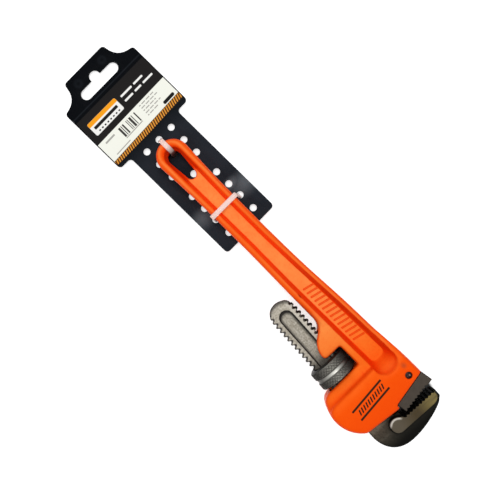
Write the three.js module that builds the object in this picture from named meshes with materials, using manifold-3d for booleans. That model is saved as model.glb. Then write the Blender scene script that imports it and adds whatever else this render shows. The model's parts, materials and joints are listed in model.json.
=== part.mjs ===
// Pipe wrench, 250 mm pattern, lying on its side and tied to a hang card.
//
// Millimetres, +Z up. X runs along the shank of the hook jaw, towards the hook.
// While the pieces are drawn, X = 0 is the middle of the adjusting nut, Y = 0 the axis of the
// shank and Z = 0 the middle plane of the wrench. The last section moves the finished wrench
// so that its origin is the centre of its underside.

import * as THREE from 'three';
import { mergeVertices } from 'three/addons/utils/BufferGeometryUtils.js';
import Module from 'manifold-3d';

const wasm = await Module();
wasm.setup();

// ---------------------------------------------------------------- driving dimensions

// fits
const seatGap = 0.3;             // between pieces that are fixed together
const runGap = 0.4;              // between the shank and the passage it slides in
const threadGap = 0.3;           // radial, between the shank's thread and the nut's

// handle, drawn along its own axis, which is tilted against the shank
const handleTilt = 3.4;          // degrees
const handleRise = 25;           // handle axis above the shank axis, at the nut
const handleLength = 171.5;      // from the nut to the centre of the rounded end
const endRadius = 11.2;          // rounded end of the handle
const gripHalf = 9.7;            // half the depth of the I-beam at the grip
const bodyThickness = 17;        // flanges, lug and window frame
const castRound = 1.8;           // rounding of the cast edges
const gripStart = -95;           // the grip is even from here to the loop's neck
const crownLine = [              // upper edge above the handle axis, [from the nut, height]
  [gripStart, gripHalf], [-62, 10.3], [-29, 12], [0, 12.8], [20, 14.1], [28, 14.3],
];
const bellyLine = [              // lower edge under the handle axis, up to the lug
  [gripStart, gripHalf], [-62, 10.2], [-33.5, 10.5],
];
const loopNeck = 20;             // where the loop has narrowed to the grip, from the rounded end
const neckFlare = 0.5;           // the neck is this much higher than the grip, on each side
const webThickness = 5;
const upperFlange = 3.9;         // upper flange of the I-beam, at the grip
const upperFlangeAtHead = 3.1;
const recessLow = [              // lower edge of the side recess under the handle axis
  [gripStart, 5.5], [-55, 6.3], [-10, 6.3], [10, 5.9],
];
const recessDraft = [            // slope of the recess walls, from face to web
  [gripStart, 1.5], [-45, 2.1],
];
const recessStart = 0.5;         // centre of its round end, from that of the handle
const loopRecess = 6.4;          // half height of the recess round the hanging hole
const recessEnd = 13.5;          // end of the flat web, from the nut
const recessRunOut = 10;         // the web climbs to the face of the head over this length
const recessCorner = 4;
const recessEndCorner = 7;       // where it meets the face of the head
const holeRadius = 4.6;          // hanging hole, narrower towards the grip
const holeNearRadius = 3.3;
const holeSpan = 15;             // between the centres of its round ends
const holeStart = 0.8;           // first centre, from the centre of the rounded end

// lug and nut window
const lugDrop = 24;              // lug's lower edge under the handle axis
const lugFlank = [-24.5, -16.7]; // middle of the lug's sloping edge
const lugNose = 2.6;             // rounding of the lug's tip
const windowLeft = 9.9;          // window walls from the middle of the nut
const windowRight = 6.6;
const windowTop = 11;            // window's upper wall under the handle axis

// head
const headThickness = 24;
const headRadius = 22.9;         // round belly of the head
const headCentreX = 24.5;
const headCentreY = 1.8;
const headStep = 14;             // where the head grows thicker than the body
const headStepRound = 3;
const headRamp = 24;             // over the recess it thickens evenly along this length
const headFront = 45.8;          // front of the head, just under the heel jaw
const bellyCorner = 4;           // rounding between the belly and the walls over it

// adjusting nut
const nutRadius = 13.2;
const nutBack = 7.4;             // faces of the nut, from the middle of its groove
const nutFront = 6.6;
const nutGrooveWidth = 3.4;
const nutGrooveDepth = 0.8;
const nutChamfer = 1.6;          // at the back, where the thumb turns it
const nutEdge = 0.8;

// hook jaw
const shankDiameter = 19.6;      // over the thread
const shankThickness = 9.6;      // flats of the shank
const shankTail = 56.9;          // rounded end of the shank, behind the nut
const threadPitch = 3.6;
const threadDepth = 1.6;
const threadEnd = 11;            // where the thread runs out, before the nut
const panelWidth = 9.5;          // long recess in both flats
const panelDepth = 1.4;
const panelStart = 7;            // from the tail to the recess
const restOpening = 0.9;         // tooth crests of the hook jaw, in front of the heel jaw's
const jawThickness = 20;
const rimThickness = 16.4;       // outer rim of the hook, thinner than the toothed pad
const jawTop = 40.6;             // tip of the hook above the shank axis
const hookDepth = 15.8;          // from the tooth crests to the outermost point of the hook
const tipDepth = 5.7;            // and to its upper outer corner
const hookShoulder = 9;          // height of the outermost point
const padWidth = 7;              // toothed pad along the jaw
const padDrop = 1.2;             // pad's end under the tip of the hook
const padCorner = 3.2;
const bulbRadius = 5.2;          // round root of the pad
const bulbCentreY = 7.6;
const rimSet = 0.4;              // face of the rim, behind the pad's crests
const throatTop = 15.2;          // hook's upper edge under the heel jaw
const closing = 0.8;             // travel left before the teeth meet
const neckGap = 0.6;             // between the closed hook and the head
const neckRamp = 7;              // the shank grows as thick as the rim over this length

// teeth of both jaws
const toothPitch = 2.6;
const toothDepth = 1.3;
const hookTeeth = 10;
const heelTeeth = 8;

// heel jaw, an insert pinned into the head; it leans back by heelTilt
const heelTilt = 12.9;           // degrees
const heelSeatX = 42.9;          // lower corner of its seat
const heelSeatY = 15.7;
const heelLength = 26.4;
const heelDepth = 7.5;           // from the seat to the tooth crests, at the lower end
const heelLean = 2.4;            // degrees; the crests lean away from the seat
const heelChamfer = 0.5;
const tongueLength = 9.4;
const tongueBottom = 13.6;       // along the seat
const tongueTop = 24.4;
const tongueThickness = 8;
const pinRadius = 1.9;
const pinBehindSeat = 5.4;
const pinUpSeat = 19.8;
const pinSink = 3;               // pin ends below the faces of the head

// springs that rock the hook jaw, inside the head
const leafThickness = 0.8;
const leafWidth = 8;
const leafStart = 11;
const leafRise = 5.2;            // riveted end above the shank
const leafEnd = 38;
const leafFlat = 6.5;            // flat of the leaf around the rivet
const rivetRadius = 1.2;
const rivetLength = 4.4;
const rivetHead = 1;
const rivetGap = 0.1;
const coilRadius = 2.6;
const coilWire = 0.5;            // radius of the wire
const coilTurns = 5;
const coilX = 27;
const coilTop = 24;              // roof of the coil spring's bore, above the shank axis

// hang card; its own origin is the centre of the handle's rounded end, x runs to the nut
const cardShift = 1.4;           // card's centre line above the handle axis, at its origin
const cardTilt = 0.45;           // degrees against the handle
const cardThickness = 1.2;
const cardGap = 0.3;             // under the handle
const cardEnd = 68.2;            // end of the tail, under the grip
const tailHalf = 22;
const panelNear = -21.4;         // wide panel, its side to the handle
const panelFar = -72.4;          // and its side to the tab
const panelHalf = 31.8;
const tabEnd = -86.7;
const tabHalf = 18.4;
const tabSweep = 6;              // the shoulders curve out to the tab over this much,
const tabBend = 11;              // from this far behind its end
const cardCorner = 2.6;
const slotLength = 32;           // european hanging slot
const slotWidth = 7.6;
const slotBump = 4.6;
const slotCentre = -71.6;
const cardHoleRadius = 2.4;
const cardHoleRow = 11.4;        // side rows from the card's centre line
const rowHoles = [-16.6, -4.9, 6.8, 25.4, 36.7, 47.1, 59.3];   // along both side rows
const tieHoleNumber = 5;         // hole of the rows that the grip's tie goes through
const endHole = -16.6;           // holes on the centre line, at the loop's tie
const loopHole = 15.6;           // and inside the hanging loop
const labelThickness = 0.2;
const labelStart = -24.2;
const labelLength = 38.4;
const labelInset = 0.7;          // from the panel's long edges
const labelLift = 0.05;          // of glue between the label and the card

// plastic ties
const tieWidth = 3.3;
const tieThickness = 1;
const tieLift = 0.35;            // between a tie and what it holds
const loopTieY = 1.3;            // loop tie above the handle axis
const tieLean = 1.2;             // the grip's tie leans so far towards the loop, at its top
const tieHoleLap = 0.8;          // the loop tie's inner leg, off the middle of its card hole

// ---------------------------------------------------------------- helpers

const degrees = Math.PI / 180;
const halfBody = bodyThickness / 2;
const halfHead = headThickness / 2;
const shankRadius = shankDiameter / 2;
const halfPassage = shankThickness / 2 + runGap;
const jawLine = heelSeatX + heelDepth + restOpening;     // tooth crests of the hook jaw
const rampStart = recessEnd + recessRunOut - headRamp;
const through = headThickness * 2;       // long enough to cut through everything

/** Turns a closed geometry into a manifold solid. */
function solid(geometry) {
  const bare = geometry.clone();
  for (const name of Object.keys(bare.attributes)) {
    if (name !== 'position') bare.deleteAttribute(name);
  }
  const merged = mergeVertices(bare, 1e-4);
  const triangles = [];
  for (let i = 0; i < merged.index.count; i += 3) {
    const [a, b, c] = [0, 1, 2].map((k) => merged.index.getX(i + k));
    if (a !== b && b !== c && c !== a) triangles.push(a, b, c);
  }
  return new wasm.Manifold(new wasm.Mesh({
    numProp: 3,
    vertProperties: new Float32Array(merged.attributes.position.array),
    triVerts: new Uint32Array(triangles),
  }));
}

/** Turns a manifold solid back into a geometry. */
function geometryOf(body) {
  const mesh = body.getMesh();
  const geometry = new THREE.BufferGeometry();
  geometry.setAttribute('position', new THREE.Float32BufferAttribute(mesh.vertProperties, 3));
  geometry.setIndex(new THREE.Uint32BufferAttribute(mesh.triVerts, 1));
  geometry.computeVertexNormals();
  return geometry;
}

/** The outline as straight steps, without the points that two joined stretches share. */
function stepped(shape, divisions) {
  const apart = (points) => points.filter((point, i) => (
    point.distanceTo(points[(i + 1) % points.length]) > 1e-3));
  const plain = new THREE.Shape(apart(shape.getPoints(divisions)));
  plain.holes = (shape.holes ?? []).map((hole) => new THREE.Path(apart(hole.getPoints(divisions))));
  return plain;
}

/** An outline extruded evenly about the plane z = middle, with rounded edges if asked. */
function plate(shape, thickness, { round = 0, slope = round, steps = 2, middle = 0, curve = 10 } = {}) {
  const geometry = new THREE.ExtrudeGeometry(stepped(shape, curve), {
    depth: thickness - 2 * slope,
    bevelEnabled: round > 0,
    bevelSize: round,
    bevelOffset: -round,
    bevelThickness: slope,
    bevelSegments: steps,
  });
  return geometry.translate(0, 0, middle - thickness / 2 + slope);
}

/** A closed outline through [x, y] corners. */
function outline(points) {
  return new THREE.Shape(points.map(([x, y]) => new THREE.Vector2(x, y)));
}

function rectangle(x0, y0, x1, y1) {
  return outline([[x0, y0], [x1, y0], [x1, y1], [x0, y1]]);
}

/** A slot with round ends between two centres on a level line. */
function stadium(x0, x1, y, radius) {
  const shape = new THREE.Shape();
  shape.absarc(x0, y, radius, Math.PI / 2, 1.5 * Math.PI, false);
  shape.absarc(x1, y, radius, -Math.PI / 2, Math.PI / 2, false);
  return shape;
}

/** A plain cylinder along Z, Y or X. */
function rod(radius, length, axis, x, y, z, sides = 24) {
  const geometry = new THREE.CylinderGeometry(radius, radius, length, sides);
  if (axis === 'Z') geometry.rotateX(Math.PI / 2);
  if (axis === 'X') geometry.rotateZ(Math.PI / 2);
  return geometry.translate(x, y, z);
}

/** Joins two outlines of equally many points, at heights z0 and z1, into one tapered solid. */
function taper(lower, upper, z0, z1) {
  const count = lower.length;
  const positions = [
    ...lower.flatMap(([x, y]) => [x, y, z0]),
    ...upper.flatMap(([x, y]) => [x, y, z1]),
  ];
  const index = [];
  for (let i = 0; i < count; i++) {
    const next = (i + 1) % count;
    index.push(i, next, count + next, i, count + next, count + i);
  }
  const cap = (ring) => THREE.ShapeUtils.triangulateShape(
    ring.map(([x, y]) => new THREE.Vector2(x, y)), []);
  for (const [a, b, c] of cap(lower)) index.push(a, c, b);
  for (const [a, b, c] of cap(upper)) index.push(count + a, count + b, count + c);
  const geometry = new THREE.BufferGeometry();
  geometry.setAttribute('position', new THREE.Float32BufferAttribute(positions, 3));
  geometry.setIndex(index);
  return geometry;
}

/** Places a geometry drawn along the handle: x from the nut, y across the handle. */
function onHandle(geometry) {
  return geometry.rotateZ(handleTilt * degrees).translate(0, handleRise, 0);
}

/** Places a geometry drawn on the heel jaw's seat: x out of the seat, y up along it. */
function onHeelSeat(geometry) {
  return geometry.rotateZ(heelTilt * degrees).translate(heelSeatX, heelSeatY, 0);
}

/** A right-handed screw along X, closed at both ends, with its first crest at x = start. */
function screw(radius, start, turns, segments = 24) {
  const profile = [[0, 0], [0.25, 0], [0.5, threadDepth], [0.75, threadDepth]];
  const perTurn = profile.length;
  const rows = Math.round(turns) * perTurn;
  const positions = [];
  const at = (row, j) => (row + Math.floor(j / segments) * perTurn) * segments + (j % segments);
  for (let row = 0; row <= rows + perTurn; row++) {
    const [along, drop] = profile[row % perTurn];
    const x0 = start + (Math.floor(row / perTurn) + along) * threadPitch;
    for (let j = 0; j < segments; j++) {
      const turn = j / segments;
      const angle = 2 * Math.PI * turn;
      positions.push(x0 + turn * threadPitch,
        (radius - drop) * Math.cos(angle), (radius - drop) * Math.sin(angle));
    }
  }
  const index = [];
  for (let row = 0; row < rows; row++) {
    for (let j = 0; j < segments; j++) {
      const [a, b, c, d] = [at(row, j), at(row, j + 1), at(row + 1, j + 1), at(row + 1, j)];
      index.push(a, b, c, a, c, d);
    }
  }
  // both ends close on a point of the axis, round one turn and back along the seam
  const close = (row, x, flip) => {
    const centre = positions.length / 3;
    positions.push(x, 0, 0);
    const loop = [];
    for (let j = 0; j < segments; j++) loop.push(at(row, j));
    for (let k = perTurn; k > 0; k--) loop.push(at(row + k, 0));
    loop.forEach((a, i) => {
      const b = loop[(i + 1) % loop.length];
      index.push(...(flip ? [centre, b, a] : [centre, a, b]));
    });
  };
  close(0, start, true);
  close(rows, start + (Math.round(turns) + 1) * threadPitch, false);
  const geometry = new THREE.BufferGeometry();
  geometry.setAttribute('position', new THREE.Float32BufferAttribute(positions, 3));
  geometry.setIndex(index);
  // rows past the last turn are only used by its seam
  return mergeVertices(geometry.toNonIndexed(), 1e-4);
}

/** A row of ratchet teeth that cuts crests at x = 0 and roots at x = depth, from y = 0 upwards. */
function toothCutter(count, side, lean) {
  const points = [[-side * toothDepth * 3, 0]];
  for (let i = 0; i < count; i++) {
    points.push([0, i * toothPitch]);
    points.push([side * toothDepth, (i + lean) * toothPitch]);
  }
  points.push([0, count * toothPitch]);
  points.push([-side * toothDepth * 3, count * toothPitch]);
  return plate(outline(side > 0 ? points : points.reverse()), through);
}

/** The polygon grown outwards by a distance; corners run anticlockwise and bend one way. */
function grown(points, distance) {
  return points.map(([x, y], i) => {
    const [px, py] = points[(i + points.length - 1) % points.length];
    const [nx, ny] = points[(i + 1) % points.length];
    const before = new THREE.Vector2(y - py, px - x).normalize();
    const after = new THREE.Vector2(ny - y, x - nx).normalize();
    const out = before.clone().add(after);
    out.multiplyScalar(distance / out.dot(before));
    return [x + out.x, y + out.y];
  });
}

/** A flat strap of even thickness round a polygon, extruded to the strap's width. */
function strap(points) {
  const band = outline(grown(points, tieThickness));
  band.holes.push(outline([...points].reverse()));
  return plate(band, tieWidth);
}

// ---------------------------------------------------------------- handle

/** Height of a line of [along, height] points, level past both ends. */
function lineAt(line, x) {
  const next = line.findIndex(([along]) => along >= x);
  if (next === 0) return line[0][1];
  if (next < 0) return line.at(-1)[1];
  const [[x0, y0], [x1, y1]] = [line[next - 1], line[next]];
  return y0 + (y1 - y0) * (x - x0) / (x1 - x0);
}

/** Carries a smooth edge on through [x, y] points. */
function spline(shape, points) {
  shape.splineThru(points.map(([x, y]) => new THREE.Vector2(x, y)));
}

/** Outline of the beam, the lug behind the nut and the frame round the nut window. */
function beamOutline() {
  const end = -handleLength;
  const neck = end + loopNeck;
  const neckHalf = gripHalf + neckFlare;
  const beam = new THREE.Shape();
  beam.absarc(end, 0, endRadius, Math.PI / 2, 1.5 * Math.PI, false);
  // lower edge, out to the lug
  spline(beam, [[neck, -neckHalf], [neck + loopNeck, -gripHalf], ...bellyLine.map(([x, y]) => [x, -y])]);
  // lug: fillet, sloping edge and rounded nose against the nut
  const [rootX, rootY] = bellyLine.at(-1);
  const [flankX, flankY] = lugFlank;
  const noseX = -windowLeft - lugNose;
  beam.bezierCurveTo(rootX + 5, -rootY - 0.2, flankX - 2.5, flankY + 3.5, flankX, flankY);
  beam.bezierCurveTo(flankX + 2.5, flankY - 4, noseX - 4.8, -lugDrop, noseX - 0.3, -lugDrop);
  beam.absarc(noseX, -lugDrop + lugNose, lugNose, -Math.PI / 2, 0, false);
  // round the window and down to the belly of the head
  beam.lineTo(-windowLeft, -windowTop);
  beam.lineTo(windowRight, -windowTop);
  bellyArc(beam, windowRight, -1);
  const [crownEnd, crownTop] = crownLine.at(-1);
  beam.lineTo(crownEnd + headStepRound, 0);
  beam.lineTo(crownEnd + headStepRound, crownTop);
  beam.lineTo(crownEnd, crownTop);
  // upper edge, back to the rounded end
  spline(beam, [
    ...crownLine.slice(0, -1).reverse(), [neck + loopNeck, gripHalf], [neck, neckHalf], [end, endRadius],
  ]);
  return beam;
}

/** Centre of the head's round belly, in the handle's own directions. */
function bellyCentre() {
  return new THREE.Vector2(headCentreX, headCentreY - handleRise)
    .rotateAround(new THREE.Vector2(), -handleTilt * degrees);
}

/** Draws the belly of the head from a wall at x to an angle, with the corner at the wall rounded. */
function bellyArc(shape, x, to) {
  const belly = bellyCentre();
  const from = -Math.PI + Math.acos((belly.x - x - bellyCorner) / headRadius);
  const start = belly.clone().add(
    new THREE.Vector2(headRadius, 0).rotateAround(new THREE.Vector2(), from));
  shape.lineTo(x, start.y + 2 * bellyCorner);
  shape.quadraticCurveTo(x, start.y + bellyCorner / 2, start.x, start.y);
  shape.absarc(belly.x, belly.y, headRadius, from, to, false);
}

/** Outline of the thick head and its ramp along the crown, before the heel jaw's seat is cut. */
function headOutline() {
  const crownTop = crownLine.at(-1)[1];
  const insideRecess = -lineAt(recessLow, headStep) + 2;
  const head = new THREE.Shape();
  head.moveTo(headStep, insideRecess);
  bellyArc(head, headStep, -0.62);
  head.lineTo(headFront - 0.7, -windowTop - 2);
  head.lineTo(headFront - 5, crownTop);
  for (const [x, y] of crownLine.filter(([along]) => along > rampStart + 1).reverse()) head.lineTo(x, y);
  head.lineTo(rampStart, lineAt(crownLine, rampStart));
  head.lineTo(rampStart, insideRecess);
  return head;
}

/** Cutter over the head's ramp, on the side z > 0; it leaves the rest of the head thick. */
function rampCutter() {
  const rise = (halfHead - halfBody) / headRamp;
  const past = 2;
  const low = halfBody + 0.02;
  const profile = outline([
    [rampStart - past, low], [rampStart, low],
    [rampStart + headRamp + past, low + rise * (headRamp + past)],
    [rampStart + headRamp + past, halfHead + past], [rampStart - past, halfHead + past],
  ]);
  // the profile is drawn in x and z, and runs across the handle from inside the recess upwards
  const length = 2 * halfHead;
  const wedge = plate(profile, length, { middle: -length / 2 }).rotateX(Math.PI / 2);
  return solid(wedge.translate(0, -lineAt(recessLow, headStep) + 1.5, 0));
}

/** Outline of a side recess; inset is how far its walls lean in, at each place along it. */
function recessOutline(inset, rightEnd, corner) {
  const left = -handleLength + recessStart;
  const lower = (x) => -lineAt(recessLow, x) + inset(x);
  const upper = (x) => lineAt(crownLine, x) - (x > gripStart ? upperFlangeAtHead : upperFlange) - inset(x);
  const points = [];
  const arc = (x, y, r, from, to, steps) => {
    for (let i = 0; i <= steps; i++) {
      const a = (from + (to - from) * i / steps) * degrees;
      points.push([x + r * Math.cos(a), y + r * Math.sin(a)]);
    }
  };
  arc(left, 0, loopRecess - inset(left), 90, 270, 8);
  points.push([left + loopNeck, lower(left) - neckFlare]);
  for (const [x] of recessLow.slice(0, -1)) points.push([x, lower(x)]);
  arc(rightEnd - corner, lower(rightEnd) + corner, corner, -90, 0, 6);
  arc(rightEnd - corner, upper(0) - corner, corner, 0, 90, 6);
  for (const [x] of crownLine.filter(([along]) => along <= 0).reverse()) points.push([x, upper(x)]);
  points.push([left + 2 * loopNeck, upper(left)], [left + loopNeck, upper(left) + neckFlare]);
  return points;
}

/** Cutter for the recess between web and face, on the side z > 0. */
function recess() {
  const over = 0.3;              // it goes on widening above the face, through the head
  const faceEnd = recessEnd + recessRunOut;
  const web = recessOutline((x) => lineAt(recessDraft, x), recessEnd, recessCorner);
  const face = recessOutline(() => 0, faceEnd, recessEndCorner);
  const high = recessOutline(() => -over, faceEnd + 2, recessEndCorner + over);
  const lower = solid(taper(web, face, webThickness / 2, halfBody));
  return lower.add(solid(taper(face, high, halfBody - 1e-3, halfHead + 1)));
}

/** Hanging hole: a slot whose round ends differ in radius. */
function hangingHole() {
  const left = -handleLength + holeStart;
  const side = Math.acos((holeRadius - holeNearRadius) / holeSpan);
  const hole = new THREE.Shape();
  hole.absarc(left, 0, holeRadius, side, 2 * Math.PI - side, false);
  hole.absarc(left + holeSpan, 0, holeNearRadius, -side, side, false);
  return plate(hole, through);
}

function makeHandle() {
  const beam = solid(plate(beamOutline(), bodyThickness, { round: castRound, curve: 8 }));
  const head = solid(plate(headOutline(), headThickness,
    { round: headStepRound - 0.6, slope: headStepRound, steps: 3, curve: 12 }));
  const oneSide = recess().add(rampCutter());
  let body = beam.add(head).subtract(oneSide).subtract(oneSide.mirror([0, 0, 1]));
  body = body.subtract(solid(hangingHole()));
  // from here on everything lines up with the shank
  body = solid(onHandle(geometryOf(body)));
  const slotTop = shankRadius + runGap;
  const lugSlot = rectangle(-shankTail, -shankRadius - lugDrop, 0, slotTop);
  body = body.subtract(solid(plate(lugSlot, 2 * halfPassage)));
  const passage = rectangle(0, -slotTop, headFront + headStep, slotTop);
  body = body.subtract(solid(plate(passage, 2 * halfPassage)));
  // pocket over the shank for the leaf spring, bore for the coil spring, hole for the rivet
  const roof = shankRadius + leafRise + leafThickness + seatGap;
  const pocket = rectangle(leafStart - seatGap, 0, leafEnd + 1, roof);
  body = body.subtract(solid(plate(pocket, 2 * halfPassage)));
  const bore = rod(coilRadius + coilWire + seatGap, coilTop, 'Y', coilX, coilTop / 2, 0);
  body = body.subtract(solid(bore));
  const rivet = rod(rivetRadius + seatGap, 2 * rivetLength, 'Y', leafStart + leafFlat / 2, roof, 0, 16);
  body = body.subtract(solid(rivet));
  // seat, tongue pocket and pin hole of the heel jaw
  const seat = rectangle(-seatGap, -seatGap, 3 * heelDepth, 2 * heelLength);
  body = body.subtract(solid(onHeelSeat(plate(seat, through))));
  const tongue = rectangle(-tongueLength - seatGap, tongueBottom - seatGap, 0, tongueTop + seatGap);
  body = body.subtract(solid(onHeelSeat(plate(tongue, tongueThickness + 2 * seatGap))));
  const hole = rod(pinRadius + seatGap, through, 'Z', -pinBehindSeat, pinUpSeat, 0);
  return geometryOf(body.subtract(solid(onHeelSeat(hole))));
}

// ---------------------------------------------------------------- heel jaw and its pin

function makeHeelJaw() {
  const lean = Math.tan(heelLean * degrees);
  const block = solid(plate(outline([
    [0, 0], [heelDepth, 0], [heelDepth + toothDepth + lean * heelLength, heelLength], [0, heelLength],
  ]), jawThickness, { round: heelChamfer, steps: 1 }));
  const tongue = solid(plate(rectangle(-tongueLength, tongueBottom, 1, tongueTop), tongueThickness));
  const teeth = toothCutter(heelTeeth, -1, 0.35).translate(0, 1, 0)
    .rotateZ(-heelLean * degrees).translate(heelDepth, 0, 0);
  // above the last tooth the block ends level with the crests
  const end = rectangle(0, heelTeeth * toothPitch, heelDepth, 2 * heelLength);
  const trim = plate(end, through).rotateZ(-heelLean * degrees).translate(heelDepth, 0, 0);
  const hole = rod(pinRadius + seatGap, through, 'Z', -pinBehindSeat, pinUpSeat, 0);
  const jaw = block.add(tongue).subtract(solid(teeth)).subtract(solid(trim)).subtract(solid(hole));
  return onHeelSeat(geometryOf(jaw));
}

function makeHeelJawPin() {
  const pin = rod(pinRadius, headThickness - 2 * pinSink, 'Z', -pinBehindSeat, pinUpSeat, 0);
  return onHeelSeat(pin);
}

// ---------------------------------------------------------------- hook jaw

/** Outline of the whole hook, seen from the side. */
function hookOutline() {
  const face = jawLine + rimSet;
  const neckX = headFront + closing + neckGap;
  const reach = jawLine + hookDepth;
  const tip = jawLine + tipDepth;
  const hook = new THREE.Shape();
  hook.moveTo(neckX, -shankRadius);
  hook.bezierCurveTo(reach - 6.5, -shankRadius, reach, -2, reach, hookShoulder);
  hook.bezierCurveTo(reach, jawTop / 2, tip + tipDepth, jawTop - 7.5, tip + tipDepth / 2, jawTop - 3);
  hook.lineTo(tip, jawTop);
  hook.lineTo(face, jawTop);
  hook.lineTo(face, throatTop + 1);
  hook.lineTo(neckX + 2, throatTop);
  hook.lineTo(neckX, throatTop - 2);
  return hook;
}

/** Outline of the thicker toothed pad with its round root. */
function padOutline() {
  const right = jawLine + padWidth;
  const end = jawTop - padDrop;
  const pad = new THREE.Shape();
  pad.moveTo(right, bulbCentreY);
  pad.lineTo(right, end - 2 * padCorner);
  pad.quadraticCurveTo(right, end - padCorner / 2, right - padCorner, end);
  pad.lineTo(jawLine, end);
  pad.lineTo(jawLine, bulbCentreY + 1.5 * bulbRadius);
  pad.absarc(right - bulbRadius, bulbCentreY, bulbRadius, 0.8 * Math.PI, 2 * Math.PI, false);
  return pad;
}

/** The hook's rim, which swells out of the shank over the length of the neck. */
function makeRim() {
  const neckX = headFront + closing + neckGap;
  const low = shankThickness / 2 + 0.02;
  const high = rimThickness / 2;
  const past = 2;
  // drawn in x and z, and run across the neck under the throat
  const ramp = outline([
    [neckX - past, low], [neckX, low], [neckX + neckRamp, high + 0.02],
    [neckX + neckRamp, high + past], [neckX - past, high + past],
  ]);
  const wedge = solid(plate(ramp, 4 * throatTop).rotateX(Math.PI / 2));
  const rim = solid(plate(hookOutline(), rimThickness, { round: 2, steps: 3 }));
  return rim.subtract(wedge).subtract(wedge.mirror([0, 0, 1]));
}

function makeHookJaw() {
  // threaded round bar, with two flats and a round tail
  const turns = Math.round((shankTail + threadEnd) / threadPitch);
  const bar = solid(screw(shankRadius, -shankTail, turns));
  const tailCentre = -shankTail + shankRadius;
  const half = shankRadius - 0.1;          // just inside the crests
  const plain = plate(rectangle(threadEnd - 1, -half, jawLine, half), shankThickness);
  const keep = plate(rectangle(tailCentre, -shankDiameter, threadEnd, shankDiameter), shankThickness);
  const tail = rod(shankRadius - 0.3, shankThickness, 'Z', tailCentre, 0, 0, 36);
  let jaw = bar.intersect(solid(keep).add(solid(tail)));
  jaw = jaw.add(solid(plain)).add(makeRim());
  jaw = jaw.add(solid(plate(padOutline(), jawThickness, { round: 0.5, steps: 1 })));
  // long recess in both flats
  const left = -shankTail + panelStart + panelWidth / 2;
  const panel = stadium(left, threadEnd + shankDiameter, 0, panelWidth / 2);
  for (const side of [-1, 1]) {
    const middle = side * shankThickness / 2;
    jaw = jaw.subtract(solid(plate(panel, 2 * panelDepth, { middle })));
  }
  const firstTooth = jawTop - 1 - hookTeeth * toothPitch;
  return geometryOf(jaw.subtract(solid(toothCutter(hookTeeth, 1, 0.6).translate(jawLine, firstTooth, 0))));
}

// ---------------------------------------------------------------- adjusting nut

function makeAdjustingNut() {
  const groove = nutGrooveWidth / 2;
  const floor = nutRadius - nutGrooveDepth;
  const inner = shankRadius - threadDepth - 1;
  const profile = [
    [inner, -nutBack], [nutRadius - nutChamfer, -nutBack], [nutRadius, -nutBack + 0.7 * nutChamfer],
    [nutRadius, -groove], [floor, -groove + nutGrooveDepth],
    [floor, groove - nutGrooveDepth], [nutRadius, groove],
    [nutRadius, nutFront - nutEdge], [nutRadius - nutEdge, nutFront], [inner, nutFront], [inner, -nutBack],
  ].map(([x, y]) => new THREE.Vector2(x, y));
  const ring = new THREE.LatheGeometry(profile, 64).rotateZ(-Math.PI / 2);
  // the nut's thread is in step with the shank's, and runs out past both faces
  const start = -shankTail + Math.floor((shankTail - 2 * nutBack) / threadPitch) * threadPitch;
  const turns = Math.ceil(4 * nutBack / threadPitch);
  return geometryOf(solid(ring).subtract(solid(screw(shankRadius + threadGap, start, turns))));
}

// ---------------------------------------------------------------- springs in the head

function makeFlatSpring() {
  const high = shankRadius + leafRise;
  const low = shankRadius + seatGap;
  const bend = leafStart + leafFlat;
  const leaf = outline([
    [leafStart, high], [bend, high], [leafEnd, low],
    [leafEnd, low + leafThickness], [bend, high + leafThickness], [leafStart, high + leafThickness],
  ]);
  const hole = rod(rivetRadius + rivetGap, leafWidth, 'Y', leafStart + leafFlat / 2, high, 0, 16);
  return geometryOf(solid(plate(leaf, leafWidth)).subtract(solid(hole)));
}

function makeSpringRivet() {
  const under = shankRadius + leafRise - rivetGap;
  const x = leafStart + leafFlat / 2;
  const shank = solid(rod(rivetRadius, rivetLength, 'Y', x, under + (rivetLength - rivetHead) / 2, 0, 16));
  const head = solid(rod(2 * rivetRadius, rivetHead, 'Y', x, under - rivetHead / 2, 0, 16));
  return geometryOf(shank.add(head));
}

function makeCoilSpring() {
  const slope = (leafRise - seatGap) / (leafEnd - leafStart - leafFlat);
  const leafHeight = (x) => shankRadius + leafRise + leafThickness - slope * (x - leafStart - leafFlat);
  // the wire starts where the leaf is highest under it
  const foot = leafHeight(coilX - coilRadius - coilWire) + coilWire + seatGap;
  const roof = coilTop - coilWire - seatGap;
  const points = [];
  const steps = coilTurns * 12;
  for (let i = 0; i <= steps; i++) {
    const a = 2 * Math.PI * coilTurns * i / steps;
    points.push(new THREE.Vector3(
      coilX - coilRadius * Math.cos(a), foot + (roof - foot) * i / steps, coilRadius * Math.sin(a)));
  }
  const path = new THREE.CatmullRomCurve3(points);
  const wire = new THREE.Shape();
  wire.absarc(0, 0, coilWire, 0, 2 * Math.PI, false);
  return new THREE.ExtrudeGeometry(wire, {
    steps, extrudePath: path, curveSegments: 3, bevelEnabled: false,
  });
}

// ---------------------------------------------------------------- hang card and its label

/** A point of the card, [along, across] from its own origin, in the handle's directions. */
function cardPoint(x, y) {
  const point = new THREE.Vector2(x, y).rotateAround(new THREE.Vector2(), cardTilt * degrees);
  return [point.x - handleLength, point.y + cardShift];
}

/** Places a geometry drawn on the card. */
function onCard(geometry) {
  return onHandle(geometry.rotateZ(cardTilt * degrees).translate(-handleLength, cardShift, 0));
}

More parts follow.
